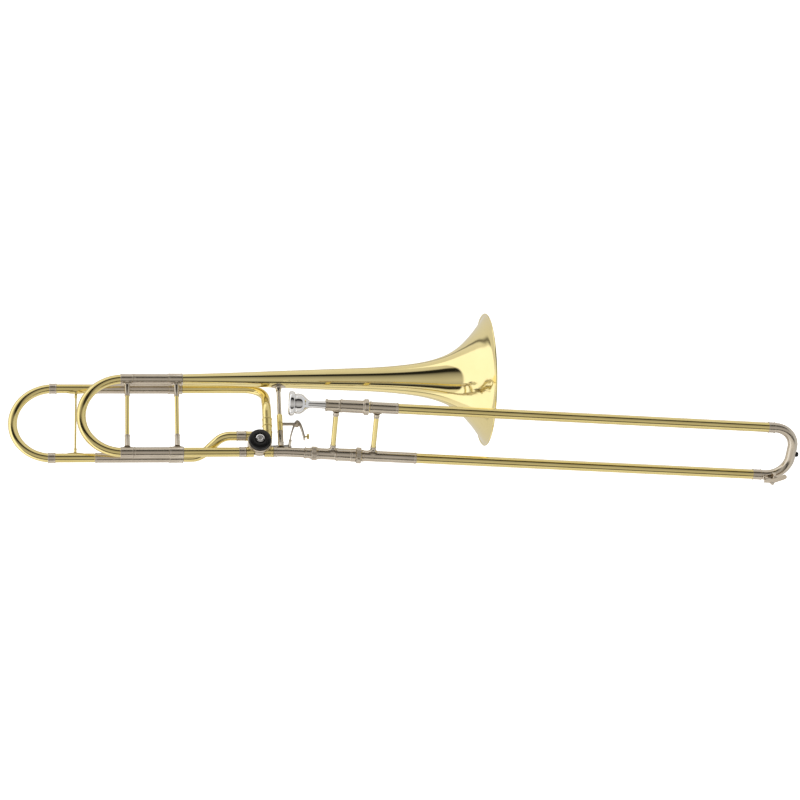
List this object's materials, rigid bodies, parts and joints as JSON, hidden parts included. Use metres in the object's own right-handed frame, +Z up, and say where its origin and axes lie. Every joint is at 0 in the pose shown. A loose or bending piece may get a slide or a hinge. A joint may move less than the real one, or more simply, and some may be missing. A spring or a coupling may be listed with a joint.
{
  "type": "tenor trombone",
  "caption": "Tenor trombone with an open-wrap rotary-valve loop, sliding hand slide and tuning slides, thumb lever, water key and mouthpiece.",
  "frame": {"origin": "on the lower hand-slide axis at the left-hand brace, where the left hand holds the instrument", "axes": "+X along the hand slide towards its bow, +Y away from the front, +Z up; the slide lies exactly along X"},
  "size_m": [1.2643, 0.2432, 0.2762],
  "materials": {
    "brass": "lacquered, polished",
    "nickel_silver": "polished nickel silver",
    "silver": "silver plated, polished",
    "black_plastic": "satin black",
    "rubber": "matt black",
    "cork": "natural cork",
    "steel": "satin"
  },
  "bodies": {
    "bell_section": {"bell": "brass", "tuning_sleeve_upper": "nickel_silver", "tuning_sleeve_lower": "nickel_silver", "lower_leg": "brass", "valve_inlet_ferrule": "nickel_silver", "fixed_brace": "brass", "loop_sleeve_upper": "nickel_silver", "loop_sleeve_lower": "nickel_silver", "loop_upper_tube": "brass", "loop_lower_tube": "brass", "loop_inlet_ferrule": "nickel_silver", "loop_drop_ferrule": "nickel_silver", "loop_stay": "brass", "neckpipe": "nickel_silver", "slide_receiver": "nickel_silver", "neck_brace": "nickel_silver", "lever_bracket": "brass", "valve_casing": "nickel_silver", "valve_cap_ring": "black_plastic", "valve_back_plate": "nickel_silver"},
    "main_tuning_slide": {"tuning_crook": "brass", "tuning_leg_upper": "nickel_silver", "tuning_leg_lower": "nickel_silver", "tuning_ferrule_upper": "nickel_silver", "tuning_ferrule_lower": "nickel_silver", "tuning_brace": "brass"},
    "loop_tuning_slide": {"loop_crook": "brass", "loop_leg_upper": "brass", "loop_leg_lower": "brass", "loop_ferrule_upper": "nickel_silver", "loop_ferrule_lower": "nickel_silver", "loop_brace": "brass"},
    "valve_rotor": {"rotor": "steel", "rotor_screw": "silver", "rotor_arm": "steel"},
    "thumb_lever": {"thumb_lever": "nickel_silver", "lever_knob": "brass"},
    "link_rod": {"link_rod": "steel"},
    "slide_section": {"grip_lower": "nickel_silver", "grip_upper": "nickel_silver", "cork_barrel_lower": "nickel_silver", "cork_barrel_upper": "nickel_silver", "inner_tube_lower": "nickel_silver", "inner_tube_upper": "nickel_silver", "hand_brace": "brass"},
    "lock_nut": {"lock_nut": "nickel_silver"},
    "slide_lock_ring": {"slide_lock_ring": "nickel_silver"},
    "outer_slide": {"outer_tube_lower": "brass", "outer_tube_upper": "brass", "slide_sleeve_lower": "nickel_silver", "slide_sleeve_upper": "nickel_silver", "slide_brace": "brass", "slide_bow": "nickel_silver", "bow_ferrule_lower": "nickel_silver", "bow_ferrule_upper": "nickel_silver", "slide_bumper": "rubber", "water_key_saddle": "nickel_silver"},
    "water_key": {"water_key_lever": "nickel_silver", "water_key_cork": "cork"},
    "mouthpiece": {"mouthpiece": "silver"}
  },
  "joints": [
    {"name": "main_tuning_pull", "type": "slide", "parent": "bell_section", "child": "main_tuning_slide", "axis": [-0.9983, -0.0279, -0.0503], "range_m": [0, 0.06]},
    {"name": "loop_tuning_pull", "type": "slide", "parent": "bell_section", "child": "loop_tuning_slide", "axis": [-0.9983, -0.0279, -0.0503], "range_m": [0, 0.11]},
    {"name": "thumb_press", "type": "hinge", "parent": "bell_section", "child": "thumb_lever", "pos_m": [-0.05691, 0.02479, 0.04472], "axis": [0, 0.8746, -0.4848], "range_deg": [0, 15.1], "stiffness_Nm_per_rad": 0.12, "springref_deg": -20.05},
    {"name": "link_travel", "type": "slide", "parent": "bell_section", "child": "link_rod", "axis": [-0.8944, 0.2169, 0.3912], "range_m": [0, 0.0092]},
    {"name": "rotor_turn", "type": "hinge", "parent": "bell_section", "child": "valve_rotor", "pos_m": [-0.11568, 0.00518, 0.00934], "axis": [0, -0.8746, 0.4848], "range_deg": [0, 90]},
    {"name": "slide_swivel", "type": "hinge", "parent": "bell_section", "child": "slide_section", "pos_m": [0, 0, 0], "axis": [1, 0, 0], "range_deg": [0, 60]},
    {"name": "nut_turn", "type": "hinge", "parent": "slide_section", "child": "lock_nut", "pos_m": [-0.0275, 0, 0], "axis": [1, 0, 0], "continuous": true},
    {"name": "lock_ring_turn", "type": "hinge", "parent": "slide_section", "child": "slide_lock_ring", "pos_m": [0.0418, 0, 0], "axis": [1, 0, 0], "range_deg": [0, 30]},
    {"name": "hand_slide", "type": "slide", "parent": "slide_section", "child": "outer_slide", "axis": [1, 0, 0], "range_m": [0, 0.6]},
    {"name": "water_key_press", "type": "hinge", "parent": "outer_slide", "child": "water_key", "pos_m": [0.716, -0.01272, -0.00696], "axis": [0, -0.4802, 0.8771], "range_deg": [0, 15], "stiffness_Nm_per_rad": 0.03, "springref_deg": -28.65},
    {"name": "mouthpiece_pull", "type": "slide", "parent": "slide_section", "child": "mouthpiece", "axis": [-1, 0, 0], "range_m": [0, 0.035]}
  ],
  "couplings": [
    {"joint": "link_travel", "follows": "thumb_press", "m_per_rad": 0.034166},
    {"joint": "rotor_turn", "follows": "thumb_press", "ratio": 5.937}
  ]
}
